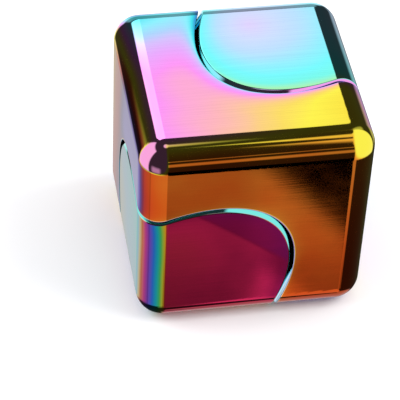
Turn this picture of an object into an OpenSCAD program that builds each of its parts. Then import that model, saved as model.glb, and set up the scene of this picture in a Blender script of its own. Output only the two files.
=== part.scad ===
// Corner-axis cube spinner: a rounded metal cube whose six-cornered ring spins on a small ball bearing
// while the two opposite corner caps are pinched.
// Frame: origin under the middle of the bottom face, +Z up, cube faces along X and Y.
// The spin axis is the long diagonal through the cube's centre, towards +X +Y +Z.

/* [Cube] */
// Edge length of the cube
cube_edge = 25; // [25:0.5:32]
// Radius of the rounded edges and corners
edge_radius = 2.9; // [1.5:0.1:3.5]

/* [Corner caps] */
// Radius of the round bore that the caps sit in
bore_radius = 11.85; // [11.4:0.05:12]
// Gap between a cap's wall and the bore
cap_gap = 0.35; // [0.3:0.05:0.8]
// Gap between a cap's back and the web of the ring
back_gap = 0.4; // [0.3:0.05:0.6]
// Radius of the boss on a cap's back
boss_radius = 4.5; // [4:0.1:5]

/* [Ring web] */
// Thickness of the web that holds the bearing
web_thickness = 6.4; // [6.2:0.1:7]
// Radius of the hole through the shoulder under the bearing
shoulder_radius = 5.7; // [5.6:0.05:5.9]

/* [Bearing] */
// Radius of the bearing's bore
bearing_bore_radius = 3.175; // [3.17:0.005:3.18]
// Outer radius of the bearing
bearing_outer_radius = 6.35; // [6.34:0.005:6.36]
// Width of the bearing
bearing_width = 4.762; // [4.7:0.001:4.8]
// Radius of a ball
ball_radius = 0.992; // [0.98:0.002:1]
// Number of balls
ball_count = 10; // [8:1:10]

/* [Axle] */
// Radius of the stud that joins the caps
stud_radius = 2; // [1.5:0.1:2]
// Length of the stud
stud_length = 19; // [16:1:20]
// Thickness of the spacer washers
washer_thickness = 0.5; // [0.4:0.05:0.6]

/* [Hidden] */
$fn = 96;
half_edge = cube_edge / 2;
cap_radius = bore_radius - cap_gap;
half_web = web_thickness / 2;
cap_back = half_web + back_gap;
past_cube = cube_edge;

half_width = bearing_width / 2;
pitch_radius = (bearing_bore_radius + bearing_outer_radius) / 2;
track_radius = ball_radius + 0.04;
inner_land_radius = pitch_radius - 0.66;
outer_land_radius = pitch_radius + 0.64;
seat_radius = bearing_outer_radius + 0.005;
race_chamfer = 0.2;

// Shield seats in the outer race, from the bearing's middle outwards
shield_bottom = 1.76;
shield_thickness = 0.2;
clip_bottom = shield_bottom + shield_thickness + 0.01;
clip_thickness = 0.24;
shield_seat_radius = 5.82;
clip_groove_radius = 5.95;
clip_split = 24;

// Groove in the web for the retaining ring
retainer_thickness = 0.45;
retainer_groove_radius = 6.95;
retainer_split = 40;

stack_half = half_width + washer_thickness;
hole_depth = stud_length / 2 + 0.8;
thread_clearance = 0.03;
socket_across_flats = 2;

plating_gold = "#F0A93A";
plating_magenta = "#C0307A";
plating_violet = "#8A6CD8";

// Draws its children about the spin axis, with their Z along the long diagonal
module on_spin_axis() {
    translate([0, 0, half_edge])
        rotate([0, acos(1 / sqrt(3)), 45])
            children();
}

// A ring of rectangular section, with an optional split
module flat_ring(inner, outer, bottom, thickness, split = 0) {
    rotate_extrude(angle = 360 - split)
        translate([inner, bottom])
            square([outer - inner, thickness]);
}

// A cube whose edges are quarter cylinders and whose corners are parts of balls
module rounded_cube(size, radius) {
    flat = size - 2 * radius;
    cube([flat, flat, size], center = true);
    cube([flat, size, flat], center = true);
    cube([size, flat, flat], center = true);
    for (lie = [[0, 0, 0], [90, 0, 0], [0, 90, 0]])
        rotate(lie)
            for (quarter = [0 : 90 : 270])
                rotate(quarter)
                    translate([flat / 2, flat / 2, -flat / 2])
                        rotate_extrude(angle = 90)
                            square([radius, flat]);
    for (end = [0, 1])
        mirror([0, 0, end])
            for (quarter = [0 : 90 : 270])
                rotate(quarter)
                    translate([flat / 2, flat / 2, flat / 2])
                        rotate_extrude(angle = 90)
                            intersection() {
                                circle(radius);
                                square(radius);
                            }
}

module cube_body() {
    translate([0, 0, half_edge])
        rounded_cube(cube_edge, edge_radius);
}

module spinner_ring() {
    color(plating_gold)
        difference() {
            cube_body();
            on_spin_axis() {
                for (end = [0, 1])
                    mirror([0, 0, end])
                        translate([0, 0, half_web])
                            cylinder(h = past_cube, r = bore_radius);
                // seat for the bearing, open at the top
                translate([0, 0, -half_width])
                    cylinder(h = past_cube, r = seat_radius);
                // hole through the shoulder
                translate([0, 0, -half_web - 1])
                    cylinder(h = web_thickness, r = shoulder_radius);
                // groove for the retaining ring
                translate([0, 0, half_width])
                    cylinder(h = retainer_thickness + 0.02, r = retainer_groove_radius);
            }
        }
}

// One corner of the cube, with the boss and the blind hole on its back
module corner_cap() {
    difference() {
        union() {
            intersection() {
                cube_body();
                on_spin_axis()
                    translate([0, 0, cap_back])
                        cylinder(h = past_cube, r = cap_radius);
            }
            on_spin_axis()
                translate([0, 0, stack_half])
                    cylinder(h = cap_back - stack_half + 1, r = boss_radius);
        }
        on_spin_axis()
            translate([0, 0, stack_half - 1])
                cylinder(h = hole_depth - stack_half + 1, r = stud_radius + thread_clearance);
    }
}

module upper_corner_cap() {
    color(plating_violet)
        corner_cap();
}

// The same casting, turned over to the opposite corner
module lower_corner_cap() {
    color(plating_magenta)
        translate([0, 0, half_edge])
            rotate(180, [1, -1, 0])
                translate([0, 0, -half_edge])
                    corner_cap();
}

module bearing_outer_race() {
    color("silver")
        on_spin_axis()
            difference() {
                rotate_extrude()
                    polygon([
                        [outer_land_radius, -half_width],
                        [bearing_outer_radius - race_chamfer, -half_width],
                        [bearing_outer_radius, -half_width + race_chamfer],
                        [bearing_outer_radius, half_width - race_chamfer],
                        [bearing_outer_radius - race_chamfer, half_width],
                        [outer_land_radius, half_width]
                    ]);
                rotate_extrude()
                    translate([pitch_radius, 0])
                        circle(track_radius);
                for (end = [0, 1])
                    mirror([0, 0, end]) {
                        translate([0, 0, shield_bottom])
                            cylinder(h = half_width, r = shield_seat_radius);
                        translate([0, 0, clip_bottom])
                            cylinder(h = clip_thickness, r = clip_groove_radius);
                    }
            }
}

module bearing_inner_race() {
    color("silver")
        on_spin_axis()
            difference() {
                rotate_extrude()
                    polygon([
                        [bearing_bore_radius, -half_width],
                        [inner_land_radius, -half_width],
                        [inner_land_radius, half_width],
                        [bearing_bore_radius, half_width]
                    ]);
                rotate_extrude()
                    translate([pitch_radius, 0])
                        circle(track_radius);
            }
}

module at_each_ball() {
    for (i = [0 : ball_count - 1])
        rotate(i * 360 / ball_count)
            translate([pitch_radius, 0, 0])
                children();
}

module bearing_balls() {
    color("gainsboro")
        on_spin_axis()
            at_each_ball()
                sphere(ball_radius);
}

module bearing_cage() {
    color("goldenrod")
        on_spin_axis()
            difference() {
                flat_ring(pitch_radius - 0.4, pitch_radius + 0.42, -1.5, 2);
                at_each_ball()
                    sphere(ball_radius + 0.04);
            }
}

module bearing_shield(end) {
    color("lightgray")
        on_spin_axis()
            mirror([0, 0, end])
                flat_ring(inner_land_radius + 0.12, shield_seat_radius - 0.02, shield_bottom, shield_thickness);
}

module bearing_shield_upper() bearing_shield(0);
module bearing_shield_lower() bearing_shield(1);

module shield_clip(end) {
    color("darkgray")
        on_spin_axis()
            mirror([0, 0, end])
                flat_ring(shield_seat_radius - 0.3, clip_groove_radius - 0.02, clip_bottom, clip_thickness - 0.02,
                          clip_split);
}

module shield_clip_upper() shield_clip(0);
module shield_clip_lower() shield_clip(1);

module bearing_retaining_ring() {
    color("dimgray")
        on_spin_axis()
            flat_ring(bearing_outer_radius - 0.45, retainer_groove_radius - 0.05, half_width + 0.01,
                      retainer_thickness, retainer_split);
}

module axle_sleeve() {
    color("slategray")
        on_spin_axis()
            flat_ring(stud_radius + thread_clearance, bearing_bore_radius - 0.005, -stack_half, 2 * stack_half);
}

module axle_stud() {
    color("gray")
        on_spin_axis()
            difference() {
                cylinder(h = stud_length, r = stud_radius, center = true);
                // hexagon socket
                translate([0, 0, stud_length / 2 - 2])
                    cylinder(h = 3, r = socket_across_flats / sqrt(3), $fn = 6);
            }
}

module spacer_washer(end) {
    color("lightslategray")
        on_spin_axis()
            mirror([0, 0, end])
                flat_ring(bearing_bore_radius + 0.02, inner_land_radius - 0.1, half_width, washer_thickness);
}

module upper_spacer_washer() spacer_washer(0);
module lower_spacer_washer() spacer_washer(1);

spinner_ring();
upper_corner_cap();
lower_corner_cap();
bearing_outer_race();
bearing_inner_race();
bearing_balls();
bearing_cage();
bearing_shield_upper();
bearing_shield_lower();
shield_clip_upper();
shield_clip_lower();
bearing_retaining_ring();
axle_sleeve();
axle_stud();
upper_spacer_washer();
lower_spacer_washer();
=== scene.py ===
import math
from functools import partial

import bmesh
import bpy
import numpy as np
from mathutils import Matrix, Vector


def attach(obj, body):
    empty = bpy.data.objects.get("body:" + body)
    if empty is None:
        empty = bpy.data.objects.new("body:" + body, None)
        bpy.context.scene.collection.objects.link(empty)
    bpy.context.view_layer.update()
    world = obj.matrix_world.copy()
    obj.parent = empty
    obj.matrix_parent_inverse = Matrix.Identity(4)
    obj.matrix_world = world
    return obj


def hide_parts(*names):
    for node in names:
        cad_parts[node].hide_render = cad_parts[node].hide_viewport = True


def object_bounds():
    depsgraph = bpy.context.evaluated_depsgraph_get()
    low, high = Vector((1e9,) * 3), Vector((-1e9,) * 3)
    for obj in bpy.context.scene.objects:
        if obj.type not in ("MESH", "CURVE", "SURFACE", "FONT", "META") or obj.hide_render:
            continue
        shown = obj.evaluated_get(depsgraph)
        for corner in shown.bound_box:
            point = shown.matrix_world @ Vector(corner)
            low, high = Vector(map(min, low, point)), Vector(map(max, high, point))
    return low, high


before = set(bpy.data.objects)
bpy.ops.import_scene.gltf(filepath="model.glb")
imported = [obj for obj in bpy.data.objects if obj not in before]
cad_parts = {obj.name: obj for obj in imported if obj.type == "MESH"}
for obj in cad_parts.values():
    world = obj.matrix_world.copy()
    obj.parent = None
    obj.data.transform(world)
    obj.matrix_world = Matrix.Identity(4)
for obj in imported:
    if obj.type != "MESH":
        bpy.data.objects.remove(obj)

cadBox = [list(corner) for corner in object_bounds()]
print("frame loaded")

mm = 0.001
halfEdge = (cadBox[1][0] - cadBox[0][0]) / 2
cubeCentre = Vector((0, 0, halfEdge))
spinAxis = Vector((1, 1, 1)).normalized()  # the long diagonal that the ring turns about

# local Z runs along the spin axis, and local zero is the middle of the cube
axisTurn = Matrix.Rotation(math.radians(45), 4, "Z") @ Matrix.Rotation(math.acos(1 / math.sqrt(3)), 4, "Y")
toSpinAxis = Matrix.Translation(cubeCentre) @ axisTurn
turnArray = np.array(axisTurn.to_3x3())


# camera

cameraView = {
    "lens": 173.5,                            # mm on a 36 mm sensor
    "fromCentre": (-34.3, -154.4, 143.5),     # mm
    "aim": (-4.39, -2.63, -3.64),             # mm from the middle of the cube
    "roll": 2.85,                             # degrees
}


def makeCamera(v):
    data = bpy.data.cameras.new("camera")
    data.lens = v["lens"]
    data.sensor_width = 36
    data.clip_start = 0.005
    camera = bpy.data.objects.new("camera", data)
    bpy.context.collection.objects.link(camera)
    place = cubeCentre + Vector(v["fromCentre"]) * mm
    look = cubeCentre + Vector(v["aim"]) * mm - place
    turn = look.to_track_quat("-Z", "Y").to_matrix().to_4x4()
    camera.matrix_world = Matrix.Translation(place) @ turn @ Matrix.Rotation(math.radians(v["roll"]), 4, "Z")
    bpy.context.scene.camera = camera


makeCamera(cameraView)
print("camera placed")


# helpers for nodes and materials


def linearColour(hexText):
    parts = [int(hexText[i:i + 2], 16) / 255 for i in (0, 2, 4)]
    return tuple(c / 12.92 if c <= 0.04045 else ((c + 0.055) / 1.055) ** 2.4 for c in parts) + (1,)


def addNode(tree, kind, *inputs, output=0, **values):
    # a lower-case name is a setting, a capitalised one an input, _6 is input number 6,
    # and None leaves an input as it is
    new = tree.nodes.new("ShaderNode" + kind)
    sockets = dict(enumerate(inputs))
    for key, value in values.items():
        if key[0].islower():
            setattr(new, key, value)
        else:
            sockets[int(key[1:]) if key[0] == "_" else key.replace("_", " ")] = value
    for key, value in sockets.items():
        if isinstance(value, bpy.types.NodeSocket):
            tree.links.new(value, new.inputs[key])
        elif value is not None:
            new.inputs[key].default_value = value
    return new.outputs[output] if new.outputs else new


def fillRamp(ramp, stops):
    while len(ramp.elements) < len(stops):
        ramp.elements.new(0.5)
    for element, (place, hexText) in zip(ramp.elements, stops):
        element.position = place
        element.color = linearColour(hexText)


def newMaterial(name):
    material = bpy.data.materials.new(name)
    material.use_nodes = True
    tree = material.node_tree
    tree.nodes.clear()
    return material, tree


grainHeight = 0.02 * mm  # from the lowest to the highest of a bump


# Rainbow vacuum plating is a clear oxide film on polished metal. Its colour is set by its thickness, so each
# piece has a list of colours from one thickness to another, and each face a thickness that drifts across it.
ringPlating = {
    "colours": [
        (-0.20, "58D0E8"), (-0.13, "74B8F0"), (-0.07, "92AEF6"), (-0.02, "A6A2F4"), (0.02, "8468DC"),
        (0.055, "5A2A96"), (0.09, "961E50"), (0.115, "BC2C20"), (0.14, "D04016"), (0.17, "D85818"),
        (0.20, "E07E28"), (0.24, "F4C438"), (0.27, "F9E444"), (0.31, "FCF04C"), (0.35, "FADC62"),
        (0.38, "FACE84"), (0.43, "FBB4BC"), (0.49, "FB96F4"), (0.54, "E8A8FC"), (0.59, "D4C0FC"),
        (0.63, "ACD4FC"), (0.67, "8CEEFD"), (0.72, "40E4EE"), (0.79, "3490D4"), (0.87, "5A58C8"),
        (1.00, "9048B4"),
    ],
    # facing, how strongly the face holds its edges, thickness at its middle, drift per mm along x, y and z
    "faces": [
        ((0, 0, 1), 1, 0.377, (-0.0115, 0, 0)),
        ((0, -1, 0), 6, 0.168, (0.001, 0, 0.002)),
        ((-1, 0, 0), 1, -0.015, (0, 0.002, 0.005)),
        ((1, 0, 0), 1, 0.60, (0, 0.012, 0.006)),
        ((0, 1, 0), 1, 0.84, (-0.010, 0, 0.006)),
        ((0, 0, -1), 1, 0.16, (-0.008, 0.012, 0)),
    ],
    "edgeBlend": 2.6,                          # how sharply one face gives way to the next
    "bandsAndShade": [((0, 1, 0), -1.0, 12.5, 0.24)],  # thicker towards one side: direction, from and to, how much
    "corners": [((-1, -1, 1), 0.455), ((1, -1, 1), 0.30)],  # a rounded corner, and the thickness on it
    "spot": None,                              # thinnest at one point: its place, rise per mm, how far
    "uprightStep": 0.0,                        # how much thicker on the upright edges
    "rimShiftAndShade": 0.22,                          # how much thicker along the seam
    "rimReach": 0.55,                          # mm over which that falls away
    "rimFacing": (0, 0, 1),                    # the face that shows it most
    "wall": (0.70, (-0.004, 0.004, 0)),        # thickness of the wall in the seam, drift per mm
    "wallRadius": 11.85,                       # mm from the spin axis
    "outside": True,                           # the piece lies outside that wall
}
upperPlating = {
    "colours": [
        (0.00, "F6A0EE"), (0.10, "E9B6FB"), (0.20, "DED2FD"), (0.27, "CEDCFE"), (0.34, "BAE0FE"),
        (0.42, "92EEFD"), (0.49, "76F8FC"), (0.57, "78F8EA"), (0.64, "A8F4B4"), (0.72, "48D0DC"),
        (0.80, "3A92DA"), (0.90, "5C66D0"), (1.00, "8A52C4"),
    ],
    "faces": [
        ((0, 0, 1), 1, 0.19, (0, 0, 0)),
        ((1, 0, 0), 1, 0.22, (0, -0.010, -0.014)),
        ((0, 1, 0), 1, 0.52, (-0.012, 0, -0.010)),
        ((0, 0, -1), 1, 0.60, (0, 0, 0)),
        ((-1, 0, 0), 1, 0.30, (0, 0, 0)),
        ((0, -1, 0), 1, 0.10, (0, 0, 0)),
    ],
    "edgeBlend": 1.6,
    "bandsAndShade": [],
    "corners": [],
    "spot": ((2, 7.5, 12.5), 0.028, 11.0),
    "uprightStep": 0.0,
    "rimShiftAndShade": 0.16,
    "rimReach": 1.3,
    "rimFacing": (0, 0, 1),
    "wall": (0.26, (-0.060, 0, 0)),
    "wallRadius": 11.5,
    "outside": False,
}
lowerPlating = {
    "colours": [
        (0.00, "40207C"), (0.06, "86105C"), (0.12, "9B1048"), (0.17, "DA2658"), (0.24, "D03C30"),
        (0.31, "D08020"), (0.37, "A0A028"), (0.43, "3CA050"), (0.49, "14949C"), (0.56, "2460B8"),
        (0.63, "6A3AA8"), (0.70, "C03888"), (0.77, "E07C48"), (0.83, "E8D8A0"), (0.90, "A8D8EC"),
        (1.00, "6CF0E0"),
    ],
    "faces": [
        ((0, -1, 0), 1, 0.160, (-0.003, 0, 0.001)),
        ((-1, 0, 0), 1, 0.90, (0, -0.006, 0.004)),
        ((0, 0, -1), 1, 0.50, (0.016, 0.012, 0)),
        ((1, 0, 0), 1, 0.15, (0, 0, 0)),
        ((0, 1, 0), 1, 0.95, (0, 0, 0)),
        ((0, 0, 1), 1, 0.98, (0, 0, 0)),
    ],
    "edgeBlend": 1.0,
    # thinner towards the upper right: a darker purple there, painted shade standing in for a dark reflection
    "bandsAndShade": [((0.61, 0, 0.79), -1.5, -0.7, -0.045)],
    "corners": [],
    "spot": None,
    "uprightStep": 0.10,
    # thinner and darker along the seam on the front: painted shade, standing in for the dark crescent the
    # turned rim mirrors
    "rimShiftAndShade": -0.05,
    "rimReach": 1.0,
    "rimFacing": (0, -1, 0),
    "wall": (0.98, (0, 0, 0)),
    "wallRadius": 11.5,
    "outside": False,
}


# what the brush, the polish and the plating leave on all three pieces
zincSurface = {
    "lineGap": 0.15,            # mm between lines, about twice the real spacing so that it shows
    "lineChange": 0.012,        # how fast a line changes along its length, against across it
    "lineDepth": 0.03,
    "lineShade": (0.95, 1.03),  # darkest and lightest line
    "edgeDepth": 0.5,           # share of the depth that the rounded edges keep
    "rough": (0.035, 0.06),     # clean and smudged
    "flatRough": 0.01,          # added on the flats
    "flatFalloff": 24.0,        # how fast a flat gives way to the edges: half gone 14 degrees round
    "brushTurn": (0.07, 0.02),  # how far a face leans along the lines, where the next lines take over
    "cornerTurn": 0.05,         # how far round a corner is before it has its own thickness
    "uprightTurn": 0.1,         # the same for an upright edge
    "rimLeast": 0.15,           # share of the seam fringe, and of the painted seam shade on the lower cap, on the faces turned away from it
    "ringWallFade": (0.16, 0.03),  # mm from the wall, over which its thickness takes over
    "capWallFade": (0.45, 0.2),    # the same by how far the surface leans along the spin axis
    "filmWander": 0.02,         # thicker or thinner by this
    "wanderSize": 6.25,         # mm
    "smudgeSize": 2.86,         # mm
}
cornerStart, cornerEnd = 31.0, 31.6  # mm along x, y and z added up, where a rounded corner begins


def platedZinc(name, p):
    # rainbow vacuum plating on brushed zinc: a bright, sharp mirror whose colour runs through the spectrum,
    # with fine parallel lines that streak what it mirrors
    zinc = zincSurface
    material, tree = newMaterial(name)
    add = partial(addNode, tree)
    coords = add("TexCoord", output="Object")
    place = add("Mapping", coords, Location=(0, 0, -halfEdge / mm), Scale=(1 / mm,) * 3)  # mm from the middle
    normal = add("TexCoord", output="Normal")

    # distance from the spin axis, in mm
    across = add("VectorMath", place, tuple(spinAxis), operation="CROSS_PRODUCT")
    radius = add("VectorMath", across, operation="LENGTH", output="Value")

    # thickness of the film: each face's own drift, shared out over the rounded edges by which way they face
    runningTotal = 0.0
    weightSum = 0.0
    for facing, hold, start, drift in p["faces"]:
        toward = add("VectorMath", normal, facing, operation="DOT_PRODUCT", output="Value")
        share = add("Math", add("Math", toward, 0.0, operation="MAXIMUM"), p["edgeBlend"], operation="POWER")
        weight = add("Math", share, hold, operation="MULTIPLY")
        along = add("VectorMath", place, drift, operation="DOT_PRODUCT", output="Value")
        level = add("Math", along, start, operation="ADD")
        runningTotal = add("Math", weight, level, runningTotal, operation="MULTIPLY_ADD")
        weightSum = add("Math", weightSum, weight, operation="ADD")
    thickness = add("Math", runningTotal, weightSum, operation="DIVIDE")

    # each band makes the film thicker or thinner across a face; the lower cap's darker band is painted shade
    for direction, start, end, amount in p["bandsAndShade"]:
        along = add("VectorMath", place, direction, operation="DOT_PRODUCT", output="Value")
        level = add("MapRange", along, start, end, 0.0, amount, interpolation_type="SMOOTHSTEP")
        thickness = add("Math", thickness, level, operation="ADD")
    if p["spot"]:
        spotPlace, perMm, limit = p["spot"]
        distance = add("VectorMath", place, spotPlace, operation="DISTANCE", output="Value")
        nearest = add("Math", distance, limit, operation="MINIMUM")
        thickness = add("Math", nearest, perMm, thickness, operation="MULTIPLY_ADD")
    # some corners have a thickness of their own, where none of the three parts of the normal is near zero
    parts = add("SeparateXYZ", normal).node.outputs
    turning = add("Math", parts["X"], parts["Y"], operation="MULTIPLY")
    for corner, level in p["corners"]:
        along = add("VectorMath", place, corner, operation="DOT_PRODUCT", output="Value")
        near = add("MapRange", along, cornerStart, cornerEnd)
        allWays = add("Math", add("Math", turning, parts["Z"], operation="MULTIPLY"), operation="ABSOLUTE")
        rounded = add("MapRange", allWays, 0.0, zinc["cornerTurn"], 0.0, near,
                      interpolation_type="SMOOTHSTEP")
        thickness = add("Mix", rounded, None, thickness, level)
    if p["uprightStep"]:
        # thicker from where the upright edges start to turn
        upright = add("Math", turning, operation="ABSOLUTE")
        step = add("MapRange", upright, 0.0, zinc["uprightTurn"], 0.0, p["uprightStep"],
                   interpolation_type="SMOOTHSTEP")
        thickness = add("Math", thickness, step, operation="ADD")

    # the fringe along the seam; on the lower cap it is a thinner, darker film, painted shade for the dark
    # crescent the rim mirrors
    side = 1 if p["outside"] else -1
    away = add("Math", add("Math", radius, p["wallRadius"], operation="SUBTRACT"), side, operation="MULTIPLY")
    reach = add("Math", add("Math", away, 0.0, operation="MAXIMUM"), -p["rimReach"], operation="DIVIDE")
    fringeAndShade = add("Math", add("Math", reach, operation="EXPONENT"), p["rimShiftAndShade"], operation="MULTIPLY")
    toward = add("VectorMath", normal, p["rimFacing"], operation="DOT_PRODUCT", output="Value")
    shown = add("Math", toward, zinc["rimLeast"], operation="MAXIMUM")
    thickness = add("Math", shown, fringeAndShade, thickness, operation="MULTIPLY_ADD")

    # slow wander of the coating, a few mm across
    wander = add("TexNoise", place, Scale=1 / zinc["wanderSize"], Detail=2.0, Roughness=0.4)
    level = add("MapRange", wander, 0.0, 1.0, -zinc["filmWander"], zinc["filmWander"])
    thickness = add("Math", thickness, level, operation="ADD")

    # the side wall in the seam has its own thickness
    wallStart, wallDrift = p["wall"]
    along = add("VectorMath", place, wallDrift, operation="DOT_PRODUCT", output="Value")
    wallLevel = add("Math", along, wallStart, operation="ADD")
    if p["outside"]:
        wallMask = add("MapRange", away, *zinc["ringWallFade"], interpolation_type="SMOOTHSTEP")
    else:
        endwise = add("VectorMath", normal, tuple(spinAxis), operation="DOT_PRODUCT", output="Value")
        facingAxis = add("Math", endwise, operation="ABSOLUTE")
        wallMask = add("MapRange", facingAxis, *zinc["capWallFade"], interpolation_type="SMOOTHSTEP")
    thickness = add("Mix", wallMask, None, thickness, wallLevel)

    thinnest, thickest = p["colours"][0][0], p["colours"][-1][0]
    colour = add("ValToRGB", add("MapRange", thickness, thinnest, thickest))
    fillRamp(colour.node.color_ramp, [((k - thinnest) / (thickest - thinnest), c) for k, c in p["colours"]])

    # brushing: lines along x on the four faces around x and their edges, then along y, then along z
    brushed = 0.0
    free = 1.0
    axes = ((1, 0, 0), (0, 1, 0), (0, 0, 1))
    for way in axes:
        stretch = tuple((zinc["lineChange"] if k else 1) / zinc["lineGap"] for k in way)
        squeezed = add("Mapping", place, Scale=stretch)
        noise = add("TexNoise", squeezed, Scale=1.0, Detail=3.0, Roughness=0.6)
        lines = add("Math", noise, 0.5, operation="SUBTRACT")
        endwise = add("VectorMath", normal, way, operation="DOT_PRODUCT", output="Value")
        facingAway = add("Math", endwise, operation="ABSOLUTE")
        level = add("MapRange", facingAway, *zinc["brushTurn"], interpolation_type="SMOOTHSTEP")
        share = add("Math", level, free, operation="MULTIPLY")
        free = add("Math", free, share, operation="SUBTRACT")
        brushed = add("Math", share, lines, brushed, operation="MULTIPLY_ADD")

    # it is deepest on the flats, and only polished-over lines are left on the rounded edges
    flat = 0.0
    for way in axes:
        endwise = add("VectorMath", normal, way, operation="DOT_PRODUCT", output="Value")
        squarely = add("Math", endwise, operation="ABSOLUTE")
        level = add("Math", squarely, zinc["flatFalloff"], operation="POWER")
        flat = add("Math", flat, level, operation="ADD")
    depth = add("MapRange", flat, 0.0, 1.0, zinc["edgeDepth"], 1.0)
    height = add("Math", brushed, depth, operation="MULTIPLY")
    bump = add("Bump", Strength=zinc["lineDepth"], Distance=grainHeight, Height=height)

    smudge = add("TexNoise", place, Scale=1 / zinc["smudgeSize"], Detail=4.0, Roughness=0.55)
    softness = add("MapRange", smudge, 0.35, 0.75, *zinc["rough"])
    roughness = add("Math", flat, zinc["flatRough"], softness, operation="MULTIPLY_ADD")

    # fine light and dark lines in the colour itself
    shade = add("MapRange", brushed, -0.2, 0.2, *zinc["lineShade"])
    lit = add("Mix", flat, _6=colour, _7=shade, data_type="RGBA", blend_type="MULTIPLY", output=2)

    add("OutputMaterial", add("BsdfPrincipled", lit, Metallic=1.0, Roughness=roughness, Normal=bump))
    return material


# the ring and the caps, spun about the diagonal and pressed out to the rounded cube

edgeRadius = 2.9 * mm
cubeShape = {
    # radii from the spin axis and heights along it from the middle, all in mm
    "boreRadius": 11.85, "capRadius": 11.5,
    "halfWeb": 3.2, "capBack": 3.6,                 # the ring's web, and where a cap's back begins
    "bossRadius": 4.5, "stackHalf": 2.881,          # a cap's boss, and where it meets its washer
    "holeRadius": 2.03, "holeDepth": 10.3,          # for the stud
    "seatRadius": 6.355, "seatFloor": -2.381, "seatTop": 2.381,  # for the bearing
    "shoulderRadius": 5.7,
    "grooveRadius": 6.95, "grooveTop": 2.851,       # for the retaining ring
    "capRimBreak": 0.11, "ringRimBreak": 0.09,      # how much of a seam's edge is worn off
    "rimSegments": 3, "capSteps": 360, "capRings": 60, "ringSteps": 480, "ringBands": 120,
}
innerPart, rimPart, skinPart = 0, 1, 2  # what a profile point belongs to
skinMark = 40.0  # mm, where a profile point waits until it is pressed on to the cube


def cubeDistance(points):
    # signed distance to the rounded cube, of points about its middle
    over = np.abs(points) - (halfEdge - edgeRadius)
    return np.linalg.norm(np.maximum(over, 0), axis=1) + np.minimum(over.max(axis=1), 0) - edgeRadius


def skinNormals(points):
    over = np.maximum(np.abs(points) - (halfEdge - edgeRadius), 0)
    normals = over * np.sign(points)
    return normals / np.maximum(np.linalg.norm(normals, axis=1, keepdims=True), 1e-12)


halvings = 40  # enough to place a point well within a thousandth of a mm


def pressOut(starts, directions):
    # how far each start goes along its direction before it meets the rounded cube
    low = np.zeros(len(starts))
    high = np.full(len(starts), 3 * halfEdge)
    for _ in range(halvings):
        middle = (low + high) / 2
        inside = cubeDistance((starts + directions * middle[:, None]) @ turnArray.T) < 0
        low = np.where(inside, middle, low)
        high = np.where(inside, high, middle)
    return starts + directions * low[:, None]


def spinProfile(points, steps, closed):
    # points are radius, height along the axis, both in mm, and part
    bm = bmesh.new()
    part = bm.verts.layers.int.new("part")
    row = []
    for radius, height, kind in points:
        vert = bm.verts.new((radius * mm, 0, height * mm))
        vert[part] = kind
        row.append(vert)
    pairs = list(zip(row, row[1:])) + ([(row[-1], row[0])] if closed else [])
    edges = [bm.edges.new(pair) for pair in pairs]
    bmesh.ops.spin(bm, geom=row + edges, axis=(0, 0, 1), cent=(0, 0, 0), angle=2 * math.pi, steps=steps,
                   use_merge=True)
    bmesh.ops.remove_doubles(bm, verts=bm.verts, dist=1e-6)
    return bm, part


creaseAngle = 0.5  # radians, past which an inner edge stays sharp


def breakRims(bm, part, width):
    bmesh.ops.recalc_face_normals(bm, faces=bm.faces)
    for edge in bm.edges:
        hidden = all(vert[part] == innerPart for vert in edge.verts)
        edge.smooth = not (hidden and edge.calc_face_angle(0) > creaseAngle)
    rims = [edge for edge in bm.edges if all(vert[part] == rimPart for vert in edge.verts)]
    bmesh.ops.bevel(bm, geom=rims, offset=width * mm, offset_type="OFFSET", affect="EDGES",
                    segments=cubeShape["rimSegments"], profile=0.5, material=-1, loop_slide=True)
    for face in bm.faces:
        face.smooth = True


touching = 0.002 * mm  # how near counts as on the surface
sameWay = 0.3          # least agreement between a face and the exact normal at its corner


def finishPiece(bm, name, wallRadius, wallSide):
    mesh = bpy.data.meshes.new(name)
    bm.to_mesh(mesh)
    bm.free()
    # exact normals, so that the flats mirror flat and the rounded edges mirror smoothly
    places = np.zeros(len(mesh.vertices) * 3, np.float32)
    mesh.vertices.foreach_get("co", places)
    places = places.reshape(-1, 3).astype(float) - np.array(cubeCentre)
    along = places @ np.array(spinAxis)
    outward = places - along[:, None] * np.array(spinAxis)
    radius = np.linalg.norm(outward, axis=1)
    onSkin = np.abs(cubeDistance(places)) < touching
    onWall = (np.abs(radius - wallRadius * mm) < touching) & ~onSkin
    exact = np.zeros_like(places)
    exact[onSkin] = skinNormals(places[onSkin])
    exact[onWall] = wallSide * outward[onWall] / radius[onWall, None]
    corners = np.zeros(len(mesh.loops), np.int32)
    mesh.loops.foreach_get("vertex_index", corners)
    cornerNormals = exact[corners]
    faceNormals = np.zeros(len(mesh.polygons) * 3, np.float32)
    mesh.polygons.foreach_get("normal", faceNormals)
    sizes = np.zeros(len(mesh.polygons), np.int32)
    mesh.polygons.foreach_get("loop_total", sizes)
    ofFace = np.repeat(faceNormals.reshape(-1, 3), sizes, axis=0)
    cornerNormals[(cornerNormals * ofFace).sum(axis=1) < sameWay] = 0  # such a corner keeps its own normal
    mesh.normals_split_custom_set(cornerNormals.tolist())
    piece = bpy.data.objects.new(name, mesh)
    bpy.context.collection.objects.link(piece)
    return piece


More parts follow.
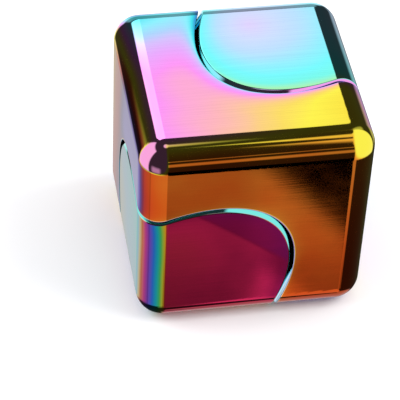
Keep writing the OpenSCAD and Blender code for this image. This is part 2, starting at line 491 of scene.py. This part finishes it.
def makeCap(name, lower):
    s = cubeShape
    rings = s["capRings"]
    points = [(s["capRadius"] * i / rings, skinMark, skinPart) for i in range(rings)]
    points += [
        (s["capRadius"], skinMark, rimPart), (s["capRadius"], s["capBack"], innerPart),
        (s["bossRadius"], s["capBack"], innerPart), (s["bossRadius"], s["stackHalf"], innerPart),
        (s["holeRadius"], s["stackHalf"], innerPart), (s["holeRadius"], s["holeDepth"], innerPart),
        (0, s["holeDepth"], innerPart),
    ]
    bm, part = spinProfile(points, s["capSteps"], closed=False)
    waiting = [vert for vert in bm.verts if vert[part] != innerPart]
    starts = np.array([(vert.co.x, vert.co.y, 0) for vert in waiting])
    ups = np.tile((0.0, 0.0, 1.0), (len(waiting), 1))
    for vert, place in zip(waiting, pressOut(starts, ups)):
        vert.co = place
    breakRims(bm, part, s["capRimBreak"])
    bm.transform(toSpinAxis)
    if lower:
        # half a turn about a line across the diagonal carries it to the opposite corner
        over = Matrix.Rotation(math.pi, 4, Vector((1, -1, 0)))
        bm.transform(Matrix.Translation(cubeCentre) @ over @ Matrix.Translation(-cubeCentre))
    return finishPiece(bm, name, s["capRadius"], 1)


def makeRing(name):
    s = cubeShape
    bore = s["boreRadius"]
    # the skin points wait on a half circle, and each goes out to the cube in its own direction
    points = []
    for i in range(s["ringBands"] + 1):
        angle = math.pi / 2 - math.pi * i / s["ringBands"]
        kind = rimPart if i in (0, s["ringBands"]) else skinPart
        points.append((bore + math.cos(angle) * skinMark, math.sin(angle) * skinMark, kind))
    points += [
        (bore, -s["halfWeb"], innerPart), (s["shoulderRadius"], -s["halfWeb"], innerPart),
        (s["shoulderRadius"], s["seatFloor"], innerPart), (s["seatRadius"], s["seatFloor"], innerPart),
        (s["seatRadius"], s["seatTop"], innerPart), (s["grooveRadius"], s["seatTop"], innerPart),
        (s["grooveRadius"], s["grooveTop"], innerPart), (s["seatRadius"], s["grooveTop"], innerPart),
        (s["seatRadius"], s["halfWeb"], innerPart), (bore, s["halfWeb"], innerPart),
    ]
    bm, part = spinProfile(points, s["ringSteps"], closed=True)
    waiting = [vert for vert in bm.verts if vert[part] != innerPart]
    places = np.array([vert.co for vert in waiting])
    turn = np.arctan2(places[:, 1], places[:, 0])
    tilt = np.arctan2(places[:, 2], np.hypot(places[:, 0], places[:, 1]) - bore * mm)
    wall = np.stack((np.cos(turn) * bore * mm, np.sin(turn) * bore * mm, np.zeros(len(turn))), axis=1)
    up = np.tile((0.0, 0.0, 1.0), (len(turn), 1))
    top = pressOut(wall, up)
    bottom = pressOut(wall, -up)
    middle = (top + bottom) / 2
    ways = np.stack((np.cos(tilt) * np.cos(turn), np.cos(tilt) * np.sin(turn), np.sin(tilt)), axis=1)
    for vert, place in zip(waiting, pressOut(middle, ways)):
        vert.co = place
    breakRims(bm, part, s["ringRimBreak"])
    bm.transform(toSpinAxis)
    return finishPiece(bm, name, bore, -1)


ring = makeRing("spinnerRing")
upperCap = makeCap("upperCornerCap", lower=False)
lowerCap = makeCap("lowerCornerCap", lower=True)
for piece, plating, finish, body, node, slot in (
    (ring, ringPlating, "whole spectrum", "ring", "spinner_ring", "rainbow_ring"),
    (upperCap, upperPlating, "cyan to lilac", "core", "upper_corner_cap", "rainbow_cap_upper"),
    (lowerCap, lowerPlating, "magenta to blue", "core", "lower_corner_cap", "rainbow_cap_lower"),
):
    piece.data.materials.append(platedZinc("rainbow vacuum plated brushed zinc, " + finish, plating))
    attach(piece, body)
    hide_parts(node)
print("ring and caps made")


# the bearing and the axle, which the caps hide

hiddenMetals = {
    # bright satin, with fine rings
    "ground bearing steel": {
        "nodes": ("bearing_outer_race", "bearing_inner_race"),
        "colours": ("B4B8BC", "CCD0D4"), "rough": (0.18, 0.30), "grain": 9.0, "squash": 0.1, "bump": 0.05},
    # a clean mirror
    "polished ball steel": {
        "nodes": ("bearing_balls",),
        "colours": ("D4D6D8", "E4E6E8"), "rough": (0.04, 0.08), "grain": 3.0, "squash": 1.0, "bump": 0.01},
    # warm yellow, softly uneven
    "pressed brass": {
        "nodes": ("bearing_cage",),
        "colours": ("C09A4C", "DAB464"), "rough": (0.25, 0.42), "grain": 7.0, "squash": 1.0, "bump": 0.15},
    # dull grey, softly uneven
    "pressed sheet steel": {
        "nodes": ("bearing_shield_upper", "bearing_shield_lower"),
        "colours": ("A4A8AC", "BCC0C4"), "rough": (0.28, 0.42), "grain": 5.0, "squash": 1.0, "bump": 0.10},
    # dark, a little blue from the furnace
    "hardened spring steel": {
        "nodes": ("shield_clip_upper", "shield_clip_lower", "bearing_retaining_ring"),
        "colours": ("4A4C52", "64666E"), "rough": (0.30, 0.50), "grain": 8.0, "squash": 1.0, "bump": 0.12},
    # mid grey, with tool rings
    "turned steel": {
        "nodes": ("axle_sleeve", "axle_stud", "upper_spacer_washer", "lower_spacer_washer"),
        "colours": ("94989C", "B4B8BC"), "rough": (0.22, 0.36), "grain": 12.0, "squash": 0.08, "bump": 0.10},
}


def hiddenMetal(name, m):
    # bare machined or pressed metal: a grey or brass sheen, streaked where a tool went round it
    material, tree = newMaterial(name)
    add = partial(addNode, tree)
    coords = add("TexCoord", output="Object")
    # the grain is drawn in a frame whose Z runs along the spin axis, so turned parts get rings
    turned = tuple(axisTurn.to_3x3().inverted().to_euler())
    place = add("Mapping", coords, Rotation=turned, Scale=(1 / mm,) * 3)
    squashed = add("Mapping", place, Scale=(m["grain"] * m["squash"], m["grain"] * m["squash"], m["grain"]))
    grain = add("TexNoise", squashed, Scale=1.0, Detail=4.0, Roughness=0.6)
    colour = add("ValToRGB", grain)
    fillRamp(colour.node.color_ramp, [(0.35, m["colours"][0]), (0.7, m["colours"][1])])
    rough = add("MapRange", grain, 0.3, 0.7, *m["rough"])
    bump = add("Bump", Strength=m["bump"], Distance=grainHeight, Height=grain)
    add("OutputMaterial", add("BsdfPrincipled", colour, Metallic=1.0, Roughness=rough, Normal=bump))
    return material


for metalName, metal in hiddenMetals.items():
    made = hiddenMetal(metalName, metal)
    for nodeName in metal["nodes"]:
        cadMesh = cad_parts[nodeName].data
        cadMesh.materials.clear()
        cadMesh.materials.append(made)
print("bearing and axle finished")


# floor, light tent and lamps

# The tent is what the polished faces mirror: a panel to each side, one high behind, and dimmer ones low down
# behind and in front. The dark gaps between them draw the black lines along the edges.
tentPanels = [
    # azimuth from and to (0 is +Y, 90 is +X), elevation from and to, in degrees, softness, slope, strength
    (0, 20, 30, 53, 1.0, 0, 1.04),             # high behind, for the top face
    (-24, 6.5, 33, 53, 1.5, 0, 1.6),           # its brighter left part
    (72, 152, -37.5, 72, 2.5, 0, 1.00),        # right side
    (140, 162, -37.5, 56, 2.5, 0, 1.00),       # right side, front part
    (58, 76, 30, 72, 8, 0, 0.45),              # right side, dim edge
    (150, 177, 0, 11, 3, 0, 0.60),             # rails in front, which streak the edge under the top face
    (150, 177, 20, 23, 1.5, 0, 0.45),
    (-104, -44, -36, 49, 4, 0, 1.00),          # left side
    (-27, 25, -36, 5, 4, 0, 1.00),             # low behind
    (-24, 22, 0, 29, 5, 0, 0.40),              # horizon behind
    (-26, 10, -56, -34, 3, 0, 0.60),           # lower behind
    (10, 30, -56, -34, 3, 0, 0.45),            # its dimmer right end
    (155, 205, -60, -33, 1.5, 0, 0.36),        # low in front
    (155, 205, -45.2, -33, 2.0, 0, 0.50),      # its brighter upper part
    (150, 167.5, -45.6, -33, 1.6, 0, 0.64),    # its brighter right part
    (177, 250, -52, -36, 2, 0, 0.85),          # its brighter left end
    (150, 166.3, -60, -48.3, 0.35, 0.37, 0.95),  # its brighter foot
    (156.5, 160.5, -54, -38, 0.8, 0, 0.60),    # its bright edge
    (-172, -14, -52, -36, 4, 0, 0.60),         # low on the left
    (-110, -70, -52, -36, 8, 0, 0.75),         # its brighter middle
    (12, 150, -82, -57, 3, 0, 0.60),           # under the right side
    (30, 62, -32, -8, 8, 0, 0.45),             # low on the right behind
    (-152, -118, -32, -8, 8, 0, 0.45),         # low on the left in front
    (-180, 180, 82, 98, 3, 0, 0.90),           # overhead
]
tentCards = [
    # black cards in front of the panels, with how much they stop in place of a strength
    (161.5, 178, -40.8, -24, 0.3, 0.48, 1.0),  # above the low front panel
    (167, 184, -60, -45.6, 1.0, 0, 0.45),      # over its left foot
]
tentFill = 0.035
studio = {
    "floorColour": "F4F4F6", "floorSize": 1.2, "worldStrength": 0.85,
    "tentRadius": 20,  # m, so large that it looks the same from every point of the cube
    "lamps": [  # place, size in m, power in W
        ("lampRight", (0.45, -0.10, 0.45), 0.45, 3.0),
        ("lampLeft", (-0.45, 0.10, 0.40), 0.45, 2.2),
    ],
}


def makeTent():
    bm = bmesh.new()
    bmesh.ops.create_icosphere(bm, subdivisions=4, radius=studio["tentRadius"])
    bmesh.ops.reverse_faces(bm, faces=bm.faces)
    mesh = bpy.data.meshes.new("lightTent")
    bm.to_mesh(mesh)
    bm.free()
    tent = bpy.data.objects.new("lightTent", mesh)
    bpy.context.collection.objects.link(tent)
    # white cloth lit from outside, which only mirrors see
    material, tree = newMaterial("lightTent")
    add = partial(addNode, tree)
    way = add("VectorMath", add("TexCoord", output="Object"), operation="NORMALIZE")
    parts = add("SeparateXYZ", way).node.outputs
    azimuth = add("Math", add("Math", parts["X"], parts["Y"], operation="ARCTAN2"), operation="DEGREES")
    elevation = add("Math", add("Math", parts["Z"], operation="ARCSINE"), operation="DEGREES")

    def panelMask(azimuthFrom, azimuthTo, elevationFrom, elevationTo, softness, slope):
        aside = add("Math", azimuth, (azimuthFrom + azimuthTo) / 2, operation="SUBTRACT")
        aside = add("Math", aside, 180.0, -180.0, operation="WRAP")
        above = add("Math", elevation, (elevationFrom + elevationTo) / 2, operation="SUBTRACT")
        above = add("Math", aside, -slope, above, operation="MULTIPLY_ADD")
        masks = []
        for spread, width in ((aside, azimuthTo - azimuthFrom), (above, elevationTo - elevationFrom)):
            offMiddle = add("Math", spread, operation="ABSOLUTE")
            masks.append(add("MapRange", offMiddle, width / 2 + softness, width / 2 - softness,
                             interpolation_type="SMOOTHSTEP"))
        return add("Math", *masks, operation="MULTIPLY")

    glow = tentFill
    for *panel, strength in tentPanels:
        lit = add("Math", panelMask(*panel), strength, operation="MULTIPLY")
        glow = add("Math", glow, lit, operation="MAXIMUM")
    for *card, opacity in tentCards:
        left = add("Math", panelMask(*card), -opacity, 1.0, operation="MULTIPLY_ADD")
        glow = add("Math", glow, left, operation="MULTIPLY")
    add("OutputMaterial", add("Emission", (1, 1, 1, 1), glow))
    material.cycles.emission_sampling = "NONE"
    mesh.materials.append(material)
    tent.visible_camera = False
    tent.visible_diffuse = False
    tent.visible_transmission = False
    tent.visible_shadow = False
    tent.location = cubeCentre


def makeFloor():
    bm = bmesh.new()
    bmesh.ops.create_grid(bm, x_segments=1, y_segments=1, size=studio["floorSize"])
    mesh = bpy.data.meshes.new("floor")
    bm.to_mesh(mesh)
    bm.free()
    floor = bpy.data.objects.new("floor", mesh)
    bpy.context.collection.objects.link(floor)
    material, tree = newMaterial("pale matt paper")
    addNode(tree, "OutputMaterial",
            addNode(tree, "BsdfPrincipled", linearColour(studio["floorColour"]), Roughness=0.7))
    mesh.materials.append(material)
    floor.visible_glossy = False


def makeLamp(name, place, size, power):
    data = bpy.data.lights.new(name, "AREA")
    data.shape = "SQUARE"
    data.size = size
    data.energy = power
    lamp = bpy.data.objects.new(name, data)
    bpy.context.collection.objects.link(lamp)
    lamp.location = place
    lamp.rotation_euler = (cubeCentre - Vector(place)).to_track_quat("-Z", "Y").to_euler()
    lamp.visible_glossy = False


makeTent()
makeFloor()
for lamp in studio["lamps"]:
    makeLamp(*lamp)
world = bpy.data.worlds.new("studio")
bpy.context.scene.world = world
world.use_nodes = True
world.node_tree.nodes["Background"].inputs["Color"].default_value = (1, 1, 1, 1)
world.node_tree.nodes["Background"].inputs["Strength"].default_value = studio["worldStrength"]
world.cycles_visibility.glossy = False  # the metal mirrors the tent alone
bpy.context.scene.view_settings.view_transform = "Standard"
print("studio set")
